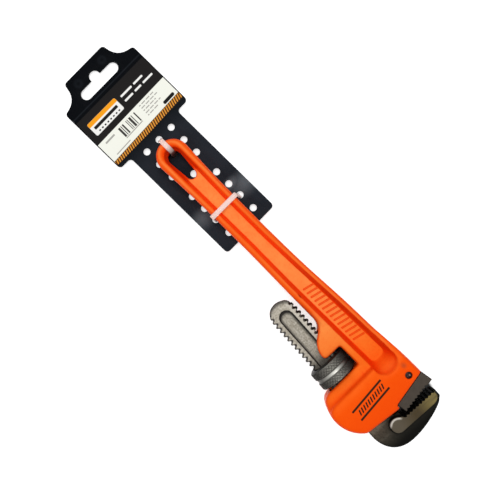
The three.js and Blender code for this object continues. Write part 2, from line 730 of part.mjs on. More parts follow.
/** Outline of the card: tab, wide panel and long tail. */
function cardOutline() {
  const card = new THREE.Shape();
  const c = cardCorner;
  const sweep = tabHalf + tabSweep;
  card.moveTo(tabEnd + c, -tabHalf);
  card.bezierCurveTo(tabEnd + tabBend, -tabHalf - 1, panelFar - 1, -sweep, panelFar, -panelHalf + c);
  card.absarc(panelFar + c, -panelHalf + c, c, Math.PI, 1.5 * Math.PI, false);
  card.absarc(panelNear - c, -panelHalf + c, c, -Math.PI / 2, 0, false);
  card.absarc(panelNear + c, -tailHalf - c, c, Math.PI, Math.PI / 2, true);
  card.absarc(cardEnd - c, -tailHalf + c, c, -Math.PI / 2, 0, false);
  card.absarc(cardEnd - c, tailHalf - c, c, 0, Math.PI / 2, false);
  card.absarc(panelNear + c, tailHalf + c, c, 1.5 * Math.PI, Math.PI, true);
  card.absarc(panelNear - c, panelHalf - c, c, 0, Math.PI / 2, false);
  card.absarc(panelFar + c, panelHalf - c, c, Math.PI / 2, Math.PI, false);
  card.bezierCurveTo(panelFar - 1, sweep, tabEnd + tabBend, tabHalf + 1, tabEnd + c, tabHalf);
  card.absarc(tabEnd + c, tabHalf - c, c, Math.PI / 2, Math.PI, false);
  card.absarc(tabEnd + c, -tabHalf + c, c, Math.PI, 1.5 * Math.PI, false);
  return card;
}

/** Hanging slot with the bump that centres it on a hook. */
function hangSlot() {
  const r = slotWidth / 2;
  const reach = slotLength / 2 - r;
  const slot = new THREE.Path();
  slot.absarc(slotCentre, reach, r, 0, Math.PI, false);
  slot.lineTo(slotCentre - r, r);
  slot.absarc(slotCentre - slotBump, 0, r, Math.PI / 2, 1.5 * Math.PI, false);
  slot.lineTo(slotCentre - r, -r);
  slot.absarc(slotCentre, -reach, r, Math.PI, 2 * Math.PI, false);
  return slot;
}

/** Inner face of the loop tie, just clear of the round end of the hanging hole. */
function loopTieInner() {
  const reach = Math.abs(loopTieY) + tieWidth / 2;
  return -handleLength + holeStart - Math.sqrt(holeRadius ** 2 - reach ** 2) + tieLift;
}

/** Places of the small round holes on the card, [along, across]. */
function cardHoles() {
  const rows = [-1, 1].flatMap((side) => rowHoles.map((x) => [x, side * cardHoleRow]));
  const tieHole = loopTieInner() + tieThickness / 2 - tieHoleLap + handleLength;
  return [...rows, [endHole, 0], [tieHole, 0], [loopHole, 0]];
}

const cardTop = -halfBody - cardGap;
const cardUnder = cardTop - cardThickness;

function makeHangCard() {
  const card = cardOutline();
  card.holes.push(hangSlot());
  for (const [x, y] of cardHoles()) {
    const hole = new THREE.Path();
    hole.absarc(x, y, cardHoleRadius, 0, 2 * Math.PI, false);
    card.holes.push(hole);
  }
  const middle = cardTop - cardThickness / 2;
  return onCard(plate(card, cardThickness, { middle, curve: 7 }));
}

function makeCardLabel() {
  const half = panelHalf - labelInset;
  const label = rectangle(labelStart - labelLength, -half, labelStart, half);
  const middle = cardTop + labelLift + labelThickness / 2;
  return onCard(plate(label, labelThickness, { middle }));
}

// ---------------------------------------------------------------- ties

function makeHandleTie() {
  const side = gripHalf + tieLift;
  const far = cardPoint(rowHoles[tieHoleNumber], cardHoleRow)[1] - tieThickness;
  const ring = [
    [-side + tieLift / 2, cardUnder - tieLift], [far, cardUnder - tieLift],
    [side, halfBody + tieLift], [-side, halfBody + tieLift],
  ];
  // drawn across the handle, then stood up along it and leaned over from its foot
  const along = rowHoles[tieHoleNumber] - handleLength;
  const lean = tieLean / (halfBody - cardUnder);
  const tie = strap(ring).rotateX(Math.PI / 2).rotateZ(Math.PI / 2).translate(0, 0, -cardUnder)
    .applyMatrix4(new THREE.Matrix4().makeShear(0, 0, 0, 0, -lean, 0));
  return onHandle(tie.translate(along, 0, cardUnder));
}

function makeLoopTie() {
  const outer = -handleLength - endRadius - tieLift;
  const inner = loopTieInner();
  const foot = cardPoint(endHole, 0)[0] + tieThickness;
  const ring = [
    [foot, cardUnder - tieLift], [inner, cardUnder - tieLift],
    [inner, halfBody + tieLift], [outer, halfBody + tieLift],
  ];
  return onHandle(strap(ring).rotateX(Math.PI / 2).translate(0, loopTieY, 0));
}

// ---------------------------------------------------------------- assembly

const cast = { color: 0xff5a10, roughness: 0.45, metalness: 0 };
const steel = { color: 0x8f897c, roughness: 0.5, metalness: 0.9 };
const darkSteel = { color: 0x4a4741, roughness: 0.5, metalness: 0.9 };
const black = { color: 0x232630, roughness: 0.4, metalness: 0 };
const paper = { color: 0xf2f0e6, roughness: 0.6, metalness: 0 };
const nylon = { color: 0xf6dcd6, roughness: 0.35, metalness: 0 };

const pieces = {
  handle: [makeHandle, cast],
  heel_jaw: [makeHeelJaw, darkSteel],
  heel_jaw_pin: [makeHeelJawPin, darkSteel],
  hook_jaw: [makeHookJaw, steel],
  adjusting_nut: [makeAdjustingNut, darkSteel],
  flat_spring: [makeFlatSpring, steel],
  coil_spring: [makeCoilSpring, steel],
  spring_rivet: [makeSpringRivet, steel],
  hang_card: [makeHangCard, black],
  card_label: [makeCardLabel, paper],
  loop_tie: [makeLoopTie, nylon],
  handle_tie: [makeHandleTie, nylon],
};

const wrench = new THREE.Group();
for (const [name, [make, finish]] of Object.entries(pieces)) {
  const mesh = new THREE.Mesh(make(), new THREE.MeshStandardMaterial(finish));
  mesh.name = name;
  wrench.add(mesh);
}

// the origin goes to the centre of the wrench's underside
const box = new THREE.Box3().setFromObject(wrench);
const centre = box.getCenter(new THREE.Vector3());
wrench.position.set(-centre.x, -centre.y, -box.min.z);

export default wrench;
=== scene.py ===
# Looks of the pipe wrench on its hang card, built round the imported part.
# Metres, in the part's own frame: +X along the shank towards the hook, +Z up from the floor.

import json
import math

import bpy
from mathutils import Euler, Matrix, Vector


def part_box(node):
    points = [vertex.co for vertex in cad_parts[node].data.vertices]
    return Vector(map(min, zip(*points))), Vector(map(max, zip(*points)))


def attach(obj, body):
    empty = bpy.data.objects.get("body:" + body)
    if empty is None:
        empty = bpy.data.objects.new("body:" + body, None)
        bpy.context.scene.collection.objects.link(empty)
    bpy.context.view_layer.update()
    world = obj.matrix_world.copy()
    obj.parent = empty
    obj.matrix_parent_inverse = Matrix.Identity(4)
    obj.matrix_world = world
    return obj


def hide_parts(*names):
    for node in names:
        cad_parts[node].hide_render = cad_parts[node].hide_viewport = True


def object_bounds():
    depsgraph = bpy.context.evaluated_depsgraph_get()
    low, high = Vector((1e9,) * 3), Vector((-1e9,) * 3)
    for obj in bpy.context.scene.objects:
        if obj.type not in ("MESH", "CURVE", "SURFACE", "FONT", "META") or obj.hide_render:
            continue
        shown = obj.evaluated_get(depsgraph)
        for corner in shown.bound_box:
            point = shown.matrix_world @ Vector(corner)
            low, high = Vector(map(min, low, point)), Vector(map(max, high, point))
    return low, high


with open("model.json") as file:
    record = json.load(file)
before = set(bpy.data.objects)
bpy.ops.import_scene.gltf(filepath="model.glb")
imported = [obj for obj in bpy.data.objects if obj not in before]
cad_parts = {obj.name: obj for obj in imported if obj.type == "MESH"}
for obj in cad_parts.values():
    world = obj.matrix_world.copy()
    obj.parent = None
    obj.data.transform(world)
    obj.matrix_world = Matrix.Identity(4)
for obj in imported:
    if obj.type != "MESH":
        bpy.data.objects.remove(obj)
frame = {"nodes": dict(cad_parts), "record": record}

cad_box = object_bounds()
bpy.ops.object.select_all(action="DESELECT")

# ---------------------------------------------------------------- camera
# One camera straight above the wrench, near enough to show a little of every side wall,
# and turned so that the handle runs from the upper left to the lower right.

camera_height = 0.558
camera_turn = math.radians(48.3)
camera_lens = 60.4
camera_from_nut = Vector((-0.09344, 0.01142))

middle = (cad_box[0] + cad_box[1]) / 2
nut_joint = next(j for j in frame["record"]["behaviour"]["joints"] if j["name"] == "nut_spin")
nut_place = Vector(nut_joint["pos_m"])
bpy.ops.object.camera_add(
    location=(nut_place.x + camera_from_nut.x, nut_place.y + camera_from_nut.y, camera_height),
    rotation=(0, 0, camera_turn))
camera = bpy.context.object
camera.data.lens = camera_lens
bpy.context.scene.camera = camera

# ---------------------------------------------------------------- studio
# An even pale room and one soft box overhead, small enough to leave a highlight
# on what faces it.

room_light = 0.62
box_size = 0.55
box_radiance = 7.0
box_height = 1.3
box_aside = Vector((-0.16, 0.05))


def feed(tree, target, value):
    """Links a socket to an input, or gives the input a fixed value."""
    if isinstance(value, bpy.types.NodeSocket):
        tree.links.new(value, target)
    else:
        target.default_value = value


def node(tree, kind, **settings):
    """Adds a shader node; its inputs are fed by name, its other properties by attribute."""
    made = tree.nodes.new(kind)
    for key, value in settings.items():
        if key in made.inputs:
            feed(tree, made.inputs[key], value)
        else:
            setattr(made, key, value)
    return made


def math_of(tree, operation, *values):
    """One Math node on sockets or numbers."""
    made = node(tree, "ShaderNodeMath", operation=operation)
    for target, value in zip(made.inputs, values):
        feed(tree, target, value)
    return made.outputs[0]


def largest(tree, first, *others):
    """The greatest of several masks, each a socket or a number."""
    for other in others:
        first = math_of(tree, "MAXIMUM", first, other)
    return first


def span(tree, value, low, high, to_low=0.0, to_high=1.0):
    """Maps a socket's range evenly to another, clamped: by default 0 at low and 1 at high."""
    mapped = node(tree, "ShaderNodeMapRange", Value=value, **{
        "From Min": low, "From Max": high, "To Min": to_low, "To Max": to_high})
    return mapped.outputs["Result"]


def background_rays(tree):
    """1 for camera, glossy and transmission rays, 0 for the rays that only carry light."""
    path = node(tree, "ShaderNodeLightPath")
    return largest(tree, *(path.outputs[kind] for kind in (
        "Is Camera Ray", "Is Glossy Ray", "Is Transmission Ray")))


def studio_room(light):
    """The world: white where it is seen, and dimmer where it only gives light."""
    world = bpy.data.worlds.new("studio_room")
    world.use_nodes = True
    tree = world.node_tree
    tree.nodes.clear()
    strength = span(tree, background_rays(tree), 0.0, 1.0, light, 1.0)
    room = node(tree, "ShaderNodeBackground", Color=(1, 1, 1, 1), Strength=strength)
    node(tree, "ShaderNodeOutputWorld", Surface=room.outputs[0])
    bpy.context.scene.world = world


def soft_box(name, size, radiance, location, aim):
    """A square area lamp whose face has the given radiance."""
    bpy.ops.object.light_add(type="AREA", location=location)
    lamp = bpy.context.object
    lamp.name = name
    lamp.data.shape = "SQUARE"
    lamp.data.size = size
    lamp.data.energy = radiance * math.pi * size * size
    lamp.rotation_euler = (Vector(aim) - Vector(location)).to_track_quat("-Z", "Y").to_euler()


studio_room(room_light)
soft_box("overhead_box", box_size, box_radiance,
         location=(middle.x + box_aside.x, middle.y + box_aside.y, box_height), aim=middle)

bpy.context.scene.view_settings.view_transform = "Standard"

# ---------------------------------------------------------------- handle
# One malleable-iron casting: beam, hanging loop, nut window and thick head. It is shot clean,
# dipped in orange enamel and baked, so every edge is soft. Its walls and hollows are painted
# deeper in colour as painted shade, and its grip paler as a painted sheen.

handle_voxel = 0.000592          # keeps the casting just under 200,000 triangles
handle_origin = nut_place + Vector((0, 0.025, 0))
handle_turn = math.radians(3.4)
loop_centre = -173.0             # centre of the hanging loop's round end, mm along the handle
web_face = 2.5                   # face of the web above the middle plane, mm
orange = (0.96, 0.088, 0.0015, 1)
orange_sheen = (0.98, 0.300, 0.068, 1)
orange_faint_sheen = (0.97, 0.180, 0.017, 1)
orange_flange_shade = (0.90, 0.090, 0.003, 1)
orange_side = (0.88, 0.052, 0.0008, 1)
orange_wall_shade = (0.80, 0.056, 0.0010, 1)
orange_deep_shade = (0.84, 0.032, 0.0003, 1)
orange_vivid_shade = (1.0, 0.046, 0.0003, 1)
orange_shade = (0.63, 0.019, 0.0002, 1)
orange_shade_and_scuff = (0.34, 0.014, 0.0005, 1)
orange_dull = (0.42, 0.06, 0.02, 1)
enamel_glint = (1.0, 0.32, 0.08, 1)
hole_shade = (0.030, 0.004, 0.002, 1)
print_black = (0.012, 0.008, 0.007, 1)


def pick(piece):
    """Makes the piece the only selected object, and the active one."""
    bpy.ops.object.select_all(action="DESELECT")
    piece.select_set(True)
    bpy.context.view_layer.objects.active = piece


def copy_of(cad_node, name):
    """A copy of a CAD node's mesh with its loose triangles merged into one skin."""
    piece = bpy.data.objects.new(name, frame["nodes"][cad_node].data.copy())
    bpy.context.collection.objects.link(piece)
    piece.data.materials.clear()
    pick(piece)
    bpy.ops.object.mode_set(mode="EDIT")
    bpy.ops.mesh.select_all(action="SELECT")
    bpy.ops.mesh.remove_doubles(threshold=2e-6)
    bpy.ops.object.mode_set(mode="OBJECT")
    return piece


def apply_modifier(piece, kind, **settings):
    """Adds a modifier and applies it at once, as by hand."""
    pick(piece)
    modifier = piece.modifiers.new(kind.lower(), kind)
    for key, value in settings.items():
        setattr(modifier, key, value)
    bpy.ops.object.modifier_apply(modifier=modifier.name)


def cast(piece, voxel, rounds):
    """Even skin of small faces with its corners rubbed soft, as a casting or forging has."""
    apply_modifier(piece, "REMESH", mode="VOXEL", voxel_size=voxel)
    apply_modifier(piece, "SMOOTH", factor=0.5, iterations=rounds)
    bpy.ops.object.shade_smooth()


def soften(piece, inside, rounds, height_only=True):
    """Rubs the skin down where inside(point from the nut, in mm) is true."""
    chosen = piece.vertex_groups.new(name="softened")
    near = [v.index for v in piece.data.vertices if inside((v.co - nut_place) * 1000)]
    chosen.add(near, 1.0, "REPLACE")
    apply_modifier(piece, "SMOOTH", factor=0.5, iterations=rounds, use_x=not height_only,
                   use_y=not height_only, vertex_group=chosen.name)
    piece.vertex_groups.clear()


def on_handle_axis(along_mm, across_mm):
    """A point of the handle's own frame, in the part's frame."""
    place = Vector((along_mm / 1000, across_mm / 1000, 0))
    place.rotate(Euler((0, 0, handle_turn)))
    return handle_origin + place


def put_on(piece, body, cad_node, finish):
    """The piece rides on a body, stands for its CAD node and wears its finish."""
    piece.data.materials.append(finish)
    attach(piece, body)
    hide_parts(cad_node)


def finish_material(name, roughness, metallic=0.0):
    """A material with one Principled shader; returns it, its tree and the shader."""
    made = bpy.data.materials.new(name)
    made.use_nodes = True
    tree = made.node_tree
    shader = tree.nodes["Principled BSDF"]
    shader.inputs["Roughness"].default_value = roughness
    shader.inputs["Metallic"].default_value = metallic
    return made, tree, shader


def product(tree, first, *others):
    """Several masks multiplied together, each a socket or a number."""
    for other in others:
        first = math_of(tree, "MULTIPLY", first, other)
    return first


def all_but(tree, mask):
    """The rest of the surface: 1 where a mask is 0."""
    return math_of(tree, "SUBTRACT", 1.0, mask)


def size_of(tree, value):
    """A coordinate without its sign."""
    return math_of(tree, "ABSOLUTE", value)


def distance(tree, value, place):
    """How far a coordinate lies from a place, on either side."""
    return size_of(tree, math_of(tree, "SUBTRACT", value, place))


def radius_of(tree, a, b):
    """Distance from an axis, from the two coordinates across it."""
    return math_of(tree, "SQRT", math_of(tree, "ADD", product(tree, a, a), product(tree, b, b)))


def vector_math(tree, operation, *values):
    """One Vector Math node on sockets or vectors; lengths and dot products come out as numbers."""
    made = node(tree, "ShaderNodeVectorMath", operation=operation)
    for target, value in zip(made.inputs, values):
        feed(tree, target, value)
    return made.outputs["Value" if operation in ("LENGTH", "DOT_PRODUCT") else "Vector"]


def group(name, inputs, outputs):
    """An empty shader node group with named float and vector sockets."""
    kinds = {"float": "NodeSocketFloat", "vector": "NodeSocketVector"}
    tree = bpy.data.node_groups.new(name, "ShaderNodeTree")
    for way, sockets in (("INPUT", inputs), ("OUTPUT", outputs)):
        for socket, kind in sockets:
            tree.interface.new_socket(socket, in_out=way, socket_type=kinds[kind])
    return tree, tree.nodes.new("NodeGroupInput"), tree.nodes.new("NodeGroupOutput")


def make_surface_relief():
    """Fine grain and slow waviness: Height for a bump, Mottle for colour and gloss."""
    grain_share = 0.35
    tree, given, out = group(
        "surface_relief", [("Vector", "vector"), ("Grain", "float"), ("Wave", "float")],
        [("Height", "float"), ("Mottle", "float")])
    grain, wave = (
        node(tree, "ShaderNodeTexNoise", Vector=given.outputs["Vector"],
             Scale=given.outputs[scale], Detail=detail, Roughness=roughness).outputs["Fac"]
        for scale, detail, roughness in (("Grain", 3.0, 0.6), ("Wave", 2.0, 0.5)))
    feed(tree, out.inputs["Height"], math_of(tree, "MULTIPLY_ADD", grain, grain_share, wave))
    feed(tree, out.inputs["Mottle"], wave)
    return tree


def make_edges_and_hollows():
    """Edge is 1 on worn convex edges and Hollow 1 in inner corners, from the skin's curvature."""
    flat = 0.5                   # Pointiness of a flat skin
    tree, given, out = group(
        "edges_and_hollows", [("Reach", "float")], [("Edge", "float"), ("Hollow", "float")])
    curvature = node(tree, "ShaderNodeNewGeometry").outputs["Pointiness"]
    for socket, sign in (("Edge", 1), ("Hollow", -1)):
        past_flat = math_of(tree, "MULTIPLY_ADD", curvature, sign, -flat * sign)
        share = math_of(tree, "DIVIDE", past_flat, given.outputs["Reach"])
        share.node.use_clamp = True
        feed(tree, out.inputs[socket], share)
    return tree


def make_print_area():
    """Mask of a rectangle with round corners; all sizes in the Vector's own units."""
    tree, given, out = group(
        "print_area", [("Vector", "vector"), ("Centre", "vector"), ("Half Size", "vector"),
                       ("Corner", "float"), ("Blur", "float")], [("Mask", "float")])
    asked = given.outputs
    apart = vector_math(tree, "SUBTRACT", asked["Vector"], asked["Centre"])
    apart = vector_math(tree, "ABSOLUTE", vector_math(tree, "MULTIPLY", apart, (1, 1, 0)))
    past_side = vector_math(tree, "SUBTRACT", apart, asked["Half Size"])
    past_side = vector_math(tree, "ADD", past_side, asked["Corner"])
    outside = vector_math(tree, "MAXIMUM", past_side, (0, 0, 0))
    past_edge = math_of(tree, "SUBTRACT", vector_math(tree, "LENGTH", outside), asked["Corner"])
    share = math_of(tree, "DIVIDE", past_edge, asked["Blur"])
    mask = math_of(tree, "MULTIPLY_ADD", share, -0.5, 0.5)
    mask.node.use_clamp = True
    feed(tree, out.inputs["Mask"], mask)
    return tree


surface_relief = make_surface_relief()
edges_and_hollows = make_edges_and_hollows()
print_area = make_print_area()


def use_group(tree, made, **values):
    """Places a node group in a material with its own values."""
    placed = node(tree, "ShaderNodeGroup", node_tree=made)
    for key, value in values.items():
        feed(tree, placed.inputs[key], value)
    return placed


def object_vector(tree):
    return node(tree, "ShaderNodeTexCoord").outputs["Object"]


def relief_on(tree, grain, wave):
    """The surface relief with its two scales, in waves per metre; returns Height and Mottle."""
    placed = use_group(tree, surface_relief, Vector=object_vector(tree), Grain=grain, Wave=wave)
    return placed.outputs["Height"], placed.outputs["Mottle"]


def in_millimetres(tree, origin, turn=0.0):
    """Object coordinates in millimetres from an origin, in a frame turned about Z."""
    mapped = node(tree, "ShaderNodeMapping", vector_type="TEXTURE", Vector=object_vector(tree),
                  Location=origin, Rotation=(0, 0, turn), Scale=(0.001, 0.001, 0.001))
    return mapped.outputs["Vector"]


def split(tree, vector):
    """The X, Y and Z of a vector socket."""
    parts = node(tree, "ShaderNodeSeparateXYZ", Vector=vector)
    return parts.outputs["X"], parts.outputs["Y"], parts.outputs["Z"]


def area(tree, vector, x0, x1, y0, y1, corner=0.1, blur=0.08):
    """Mask of the area from (x0, y0) to (x1, y1), fading over the blur on each side; in mm."""
    placed = use_group(
        tree, print_area, Vector=vector, Centre=((x0 + x1) / 2, (y0 + y1) / 2, 0),
        **{"Half Size": ((x1 - x0) / 2, (y1 - y0) / 2, 1000), "Corner": corner, "Blur": blur})
    return placed.outputs["Mask"]


def soft_spot(tree, vector, x, y, half_x, half_y):
    """A smooth round patch, 1 in its middle and 0 at its rim; in mm."""
    apart = vector_math(tree, "SUBTRACT", vector, (x, y, 0))
    scaled = vector_math(tree, "MULTIPLY", apart, (1 / half_x, 1 / half_y, 0))
    patch = span(tree, vector_math(tree, "LENGTH", scaled), 1.0, 0.0)
    patch.node.interpolation_type = "SMOOTHSTEP"
    return patch


def stripes(tree, value, pitch, share):
    """1 on stripes that cover a share of each pitch."""
    return math_of(tree, "LESS_THAN", math_of(tree, "FLOORED_MODULO", value, pitch), pitch * share)


def tilt_of(tree, axis):
    """How far the skin faces along an axis of the part, from -1 to 1."""
    skin = node(tree, "ShaderNodeNewGeometry")
    return vector_math(tree, "DOT_PRODUCT", skin.outputs["Normal"], axis)


def steepness(tree, low=0.93, high=0.72):
    """0 on flats that face up or down, 1 on walls."""
    return span(tree, size_of(tree, tilt_of(tree, (0, 0, 1))), low, high)


def blend_colors(tree, factor, a, b):
    """Mixes two colours, each a socket or a fixed colour, by a socket."""
    mix = node(tree, "ShaderNodeMix", data_type="RGBA", Factor=factor)
    for name, value in (("A", a), ("B", b)):
        feed(tree, next(s for s in mix.inputs if s.name == name and s.type == "RGBA"), value)
    return next(s for s in mix.outputs if s.type == "RGBA")


def lay(tree, tone, mask, colour, share=1.0):
    """Lays a colour over a tone where the mask is, at a share of its full strength."""
    if share < 1.0:
        mask = product(tree, mask, share)
    return blend_colors(tree, mask, tone, colour)


def coat(tree, shader, tone, height, depth):
    """Gives the shader its colour, and a bump of the given depth from a height."""
    relief = node(tree, "ShaderNodeBump", Strength=1.0, Distance=depth, Height=height)
    feed(tree, shader.inputs["Base Color"], tone)
    feed(tree, shader.inputs["Normal"], relief.outputs["Normal"])


handle = copy_of("handle", "handle_casting")
cast(handle, handle_voxel, rounds=8)
# the flanges of the grip are rounded over, and the loop is rounder still
soften(handle, lambda p: p.x < -24 and abs(p.z) > 6.2, rounds=14)
soften(handle, lambda p: p.x < -150 and abs(p.z) > 5.0, rounds=16)
# the step from the body to the thicker head is blended by hand on the pattern
soften(handle, lambda p: 8 < p.x < 30 and -24 < p.y < 13 and abs(p.z) > 5, rounds=150)
soften(handle, lambda p: 8 < p.x < 27 and 13 <= p.y < 34 and abs(p.z) > 4, rounds=40)

# cast ribs on both sides of the web, between the flanges
rib_first, rib_pitch, rib_count = -50.5, 3.5, 14
rib_size = (0.0014, 0.0088, 0.0012)
rib_edge = 0.00058
rib_slant = math.radians(-14)
rib_middle = 2.1                 # above the handle's axis, mm
rib_face = 3.0                   # top of a rib above the middle plane, mm
ribs = []
for side in (1, -1):
    for number in range(rib_count):
        place = on_handle_axis(rib_first + rib_pitch * number, rib_middle)
        place.z += side * (rib_face / 1000 - rib_size[2] / 2)
        bpy.ops.object.select_all(action="DESELECT")
        bpy.ops.mesh.primitive_cube_add(size=1, location=place, scale=rib_size,
                                        rotation=(0, 0, handle_turn + rib_slant))
        rib = bpy.context.object
        bpy.ops.object.transform_apply(location=True, rotation=True, scale=True)
        apply_modifier(rib, "BEVEL", width=rib_edge, segments=4)
        bpy.ops.object.shade_smooth()
        ribs.append(rib)
pick(handle)
for rib in ribs:
    rib.select_set(True)
bpy.ops.object.join()

orange_enamel, tree, shader = finish_material("orange_enamel", roughness=0.42)
shader.inputs["Specular IOR Level"].default_value = 0.3
shader.inputs["Specular Tint"].default_value = enamel_glint
enamel_height, mottle = relief_on(tree, grain=900.0, wave=110.0)
_, speckle = relief_on(tree, grain=1200.0, wave=620.0)
wear_and_shade = use_group(tree, edges_and_hollows, Reach=0.045)
# millimetres from the middle of the nut: x along the shank, y across it
from_nut = in_millimetres(tree, nut_place)
along, _, above = split(tree, from_nut)
# millimetres along the handle from the nut, and across it from its own axis
on_handle = in_millimetres(tree, handle_origin, handle_turn)
grip_along, grip_across, height = split(tree, on_handle)
off_middle = size_of(tree, height)

# painted sheen: the enamel is painted paler on the grip than on the head, as a painted
# reflection of the lamp that fades towards the head
tone = orange_sheen
for start, end, share, colour in (
        (-36.0, 0.0, 1.0, orange_faint_sheen), (0.0, 24.0, 1.0, orange), (20.0, 42.0, 0.6, orange_side)):
    tone = lay(tree, tone, span(tree, along, start, end, 0.0, share), colour)

# the flanges are painted redder than the web and the lug: painted shade on their rounded faces,
# without the grip's painted sheen
upper_flange = span(tree, grip_across, 4.3, 5.8)
lower_flange = product(tree, span(tree, grip_across, -4.3, -5.8), span(tree, along, -28.0, -38.0))
loop_end = span(tree, grip_along, -165.0, -170.0)
flanges = product(tree, largest(tree, upper_flange, lower_flange, loop_end),
                  span(tree, off_middle, 3.5, 6.5), span(tree, along, 22.0, 8.0))
tone = lay(tree, tone, flanges, orange_flange_shade, 0.95)

# and a paler painted highlight along their crest, all the way round the loop; the upper crest
# leaves the axis as the beam grows deeper towards the nut
crest_reach, crest_core = 1.3, 0.2
past_centre = largest(tree, math_of(tree, "SUBTRACT", loop_centre, grip_along), 0.0)
from_middle = radius_of(tree, past_centre, grip_across)
upper_side = math_of(tree, "GREATER_THAN", grip_across, 0.0)
crest_place = math_of(tree, "ADD", span(tree, grip_along, -115.0, -150.0, 7.0, 8.0), product(
    tree, upper_side, span(tree, grip_along, -95.0, 5.0, 0.0, 4.0)))
crest_share = largest(tree, span(tree, grip_along, -110.0, -150.0, 0.16, 0.50),
                      span(tree, grip_along, -90.0, -60.0, 0.16, 0.36))
off_crest = distance(tree, from_middle, crest_place)
crest_highlight = product(tree, span(tree, off_crest, crest_reach, crest_core), crest_share,
                span(tree, off_middle, 6.5, 7.5), flanges)
tone = lay(tree, tone, crest_highlight, orange_sheen)

# painted shade, deeper in colour, on the inside of the loop
loop_inside_shade = product(tree, span(tree, from_middle, 6.7, 5.6),
                      span(tree, grip_along, -160.0, -168.0, 0.0, 0.75))
tone = lay(tree, tone, loop_inside_shade, orange_deep_shade)

# painted shade on the walls, but not at the gentle end of the recess beside the head, which has
# a paler painted highlight
gentle_end = (22.0, 2.4, 6.0, 13.0)
gentle_end_highlight = soft_spot(tree, on_handle, *gentle_end)
steep = product(tree, steepness(tree, 0.97, 0.74), span(tree, gentle_end_highlight, 0.0, 0.7, 0.8, 0.1))
tone = lay(tree, tone, steep, orange_wall_shade)
tone = lay(tree, tone, gentle_end_highlight, orange_sheen, 0.16)

# painted shade on the beam's underside between the hanging end and the lug, and a little painted
# shade on the step up to the head
under_beam = (-56.0, -20.0, -14.0, -9.0, 0.6, 0.8)
head_step = (14.3, 16.0, -26.0, 13.0, 0.6, 1.4)
under_shade = product(tree, area(tree, on_handle, *under_beam), span(tree, grip_along, -55.0, -42.0),
                span(tree, grip_along, -27.0, -33.0))
tone = lay(tree, tone, under_shade, orange_shade_and_scuff, 0.8)
tone = lay(tree, tone, area(tree, from_nut, *head_step), orange_side, 0.55)

# painted shade, deepest in colour, on the walls of the side recess and in a band along their feet
recess_rise, recess_at_nut, recess_thin = 0.045, 11.3, 6.9   # its upper rim, from the axis, mm
recess_bottom, recess_start = -7.6, -179.0
wall_feet = ((0.012, -3.2, -1), (0.0233, 6.9, 1))            # rise, height at the nut, side
foot_blur = 0.25
recess_top = largest(tree, recess_thin, math_of(
    tree, "MULTIPLY_ADD", grip_along, recess_rise, recess_at_nut))
in_recess = product(
    tree, math_of(tree, "LESS_THAN", grip_across, recess_top),
    math_of(tree, "GREATER_THAN", grip_across, recess_bottom),
    math_of(tree, "GREATER_THAN", grip_along, recess_start), span(tree, grip_along, 22.0, 12.0))
foot_shade = 0.0
for rise, at_nut, side in wall_feet:
    foot = math_of(tree, "MULTIPLY_ADD", grip_along, rise, at_nut)
    past_foot = math_of(tree, "SUBTRACT", grip_across, foot)
    foot_shade = largest(tree, span(tree, past_foot, -foot_blur * side, foot_blur * side), foot_shade)
foot_shade = product(tree, foot_shade, math_of(tree, "LESS_THAN", off_middle, 5.5),
                 span(tree, grip_along, -105.0, -80.0))
deep = product(tree, in_recess, largest(tree, foot_shade, steepness(tree, 0.93, 0.68)))
# this painted shade is vivid along the thin part of the beam; near the nut the upper wall gets a
# darker painted shade
thin_part = product(tree, span(tree, grip_along, -160.0, -140.0),
                    span(tree, grip_along, -60.0, -85.0))
tone = lay(tree, tone, deep, blend_colors(tree, thin_part, orange_deep_shade, orange_vivid_shade))
upper_wall_shade = product(tree, deep, span(tree, grip_across, 2.0, 4.0),
                     span(tree, grip_along, -80.0, -35.0))
tone = lay(tree, tone, upper_wall_shade, orange_shade)

# slow and fine unevenness; then painted shade on the ribs and in the inner corners, which are
# darker
tone = lay(tree, tone, span(tree, mottle, 0.3, 0.75, 0.0, 0.25), orange)
tone = lay(tree, tone, span(tree, speckle, 0.5, 0.75, 0.0, 0.22), orange_side)
rib_row = (-54.0, 0.0, -3.5, 7.6)
on_ribs = product(tree, span(tree, off_middle, web_face + 0.08, web_face + 0.25),
                  span(tree, off_middle, rib_face + 0.3, rib_face + 0.1),
                  area(tree, on_handle, *rib_row))
tone = lay(tree, tone, on_ribs, orange_side, 0.75)
off_ribs = math_of(tree, "GREATER_THAN", off_middle, rib_face + 0.3)
tone = lay(tree, tone, product(tree, wear_and_shade.outputs["Hollow"], off_ribs), orange_deep_shade)

# two plain bars with a row of slanted dashes between them, printed on the flat of the head
print_place = nut_place + Vector((0.0289, 0.0053, 0))
print_turn = math.radians(8.1)
bar_inner, bar_outer, bar_half, bar_corner = 3.0, 4.4, 13.8, 0.4
dash_pitch, dash_share, dash_slant = 2.2, 0.5, 0.45
dash_half, dash_row_half = 1.7, 11.9
head_print = in_millimetres(tree, print_place, print_turn)
print_across, print_along, _ = split(tree, head_print)
dash_phase = math_of(tree, "ADD", print_along, product(tree, print_across, dash_slant))
off_row_middle = distance(tree, dash_phase, dash_pitch * dash_share / 2)
marks = product(tree, stripes(tree, dash_phase, dash_pitch, dash_share),
                math_of(tree, "LESS_THAN", off_row_middle, dash_row_half),
                area(tree, head_print, -dash_half, dash_half, -bar_half, bar_half))
for near, far in ((-bar_outer, -bar_inner), (bar_inner, bar_outer)):
    bar = area(tree, head_print, near, far, -bar_half, bar_half, bar_corner)
    marks = largest(tree, marks, bar)
marks = product(tree, marks, math_of(tree, "GREATER_THAN", above, 0.0))
tone = lay(tree, tone, marks, print_black)
